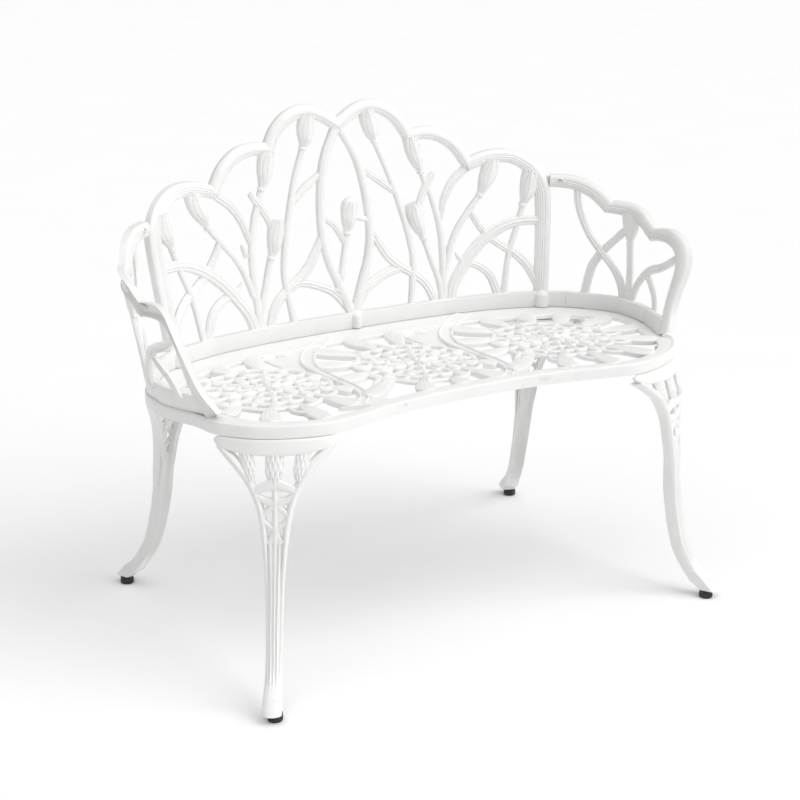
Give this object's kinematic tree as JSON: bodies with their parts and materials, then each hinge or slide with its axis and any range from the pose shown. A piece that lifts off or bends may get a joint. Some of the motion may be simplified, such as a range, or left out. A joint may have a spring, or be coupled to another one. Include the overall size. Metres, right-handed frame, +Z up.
{
  "type": "garden bench",
  "caption": "Garden bench with a curved openwork seat, scalloped leaf-and-bud back, open arms and splayed cabriole legs on screw-in levelling glides.",
  "frame": {"origin": "on the floor under the middle of the four feet", "axes": "+X to the sitter's left (the viewer's right), +Y towards the back, +Z up; the bench faces -Y"},
  "size_m": [1.013, 0.616, 0.8363],
  "materials": {
    "white_coat_seat": "satin white powder coat over cast aluminium",
    "white_coat_back": "satin white powder coat over cast aluminium",
    "white_coat_arm": "satin white powder coat over cast aluminium",
    "white_coat_leg": "satin white powder coat over cast aluminium",
    "black_glide": "matt black moulded plastic",
    "zinc_steel": "zinc plated steel"
  },
  "bodies": {
    "bench": {"seat_panel": "white_coat_seat", "back_panel": "white_coat_back", "arm_left": "white_coat_arm", "arm_right": "white_coat_arm", "leg_front_left": "white_coat_leg", "leg_front_right": "white_coat_leg", "leg_rear_left": "white_coat_leg", "leg_rear_right": "white_coat_leg", "leg_bolt_front_left_inner": "zinc_steel", "leg_washer_front_left_inner": "zinc_steel", "leg_bolt_front_left_outer": "zinc_steel", "leg_washer_front_left_outer": "zinc_steel", "leg_bolt_front_right_inner": "zinc_steel", "leg_washer_front_right_inner": "zinc_steel", "leg_bolt_front_right_outer": "zinc_steel", "leg_washer_front_right_outer": "zinc_steel", "leg_bolt_rear_left_inner": "zinc_steel", "leg_washer_rear_left_inner": "zinc_steel", "leg_bolt_rear_left_outer": "zinc_steel", "leg_washer_rear_left_outer": "zinc_steel", "leg_bolt_rear_right_inner": "zinc_steel", "leg_washer_rear_right_inner": "zinc_steel", "leg_bolt_rear_right_outer": "zinc_steel", "leg_washer_rear_right_outer": "zinc_steel", "back_bolt_1": "zinc_steel", "back_washer_1": "zinc_steel", "back_bolt_2": "zinc_steel", "back_washer_2": "zinc_steel", "back_bolt_3": "zinc_steel", "back_washer_3": "zinc_steel", "back_bolt_4": "zinc_steel", "back_washer_4": "zinc_steel", "arm_bolt_left_front": "zinc_steel", "arm_washer_left_front": "zinc_steel", "arm_bolt_left_rear": "zinc_steel", "arm_washer_left_rear": "zinc_steel", "arm_screw_left": "zinc_steel", "arm_nut_left": "zinc_steel", "arm_bolt_right_front": "zinc_steel", "arm_washer_right_front": "zinc_steel", "arm_bolt_right_rear": "zinc_steel", "arm_washer_right_rear": "zinc_steel", "arm_screw_right": "zinc_steel", "arm_nut_right": "zinc_steel"},
    "glide_front_left": {"glide_pad_front_left": "black_glide", "glide_stud_front_left": "zinc_steel"},
    "glide_front_right": {"glide_pad_front_right": "black_glide", "glide_stud_front_right": "zinc_steel"},
    "glide_rear_left": {"glide_pad_rear_left": "black_glide", "glide_stud_rear_left": "zinc_steel"},
    "glide_rear_right": {"glide_pad_rear_right": "black_glide", "glide_stud_rear_right": "zinc_steel"}
  },
  "joints": [
    {"name": "glide_front_left_travel", "type": "slide", "parent": "bench", "child": "glide_front_left", "axis": [0, 0, -1], "range_m": [0, 0.008]},
    {"name": "glide_front_right_travel", "type": "slide", "parent": "bench", "child": "glide_front_right", "axis": [0, 0, -1], "range_m": [0, 0.008]},
    {"name": "glide_rear_left_travel", "type": "slide", "parent": "bench", "child": "glide_rear_left", "axis": [0, 0, -1], "range_m": [0, 0.008]},
    {"name": "glide_rear_right_travel", "type": "slide", "parent": "bench", "child": "glide_rear_right", "axis": [0, 0, -1], "range_m": [0, 0.008]}
  ]
}
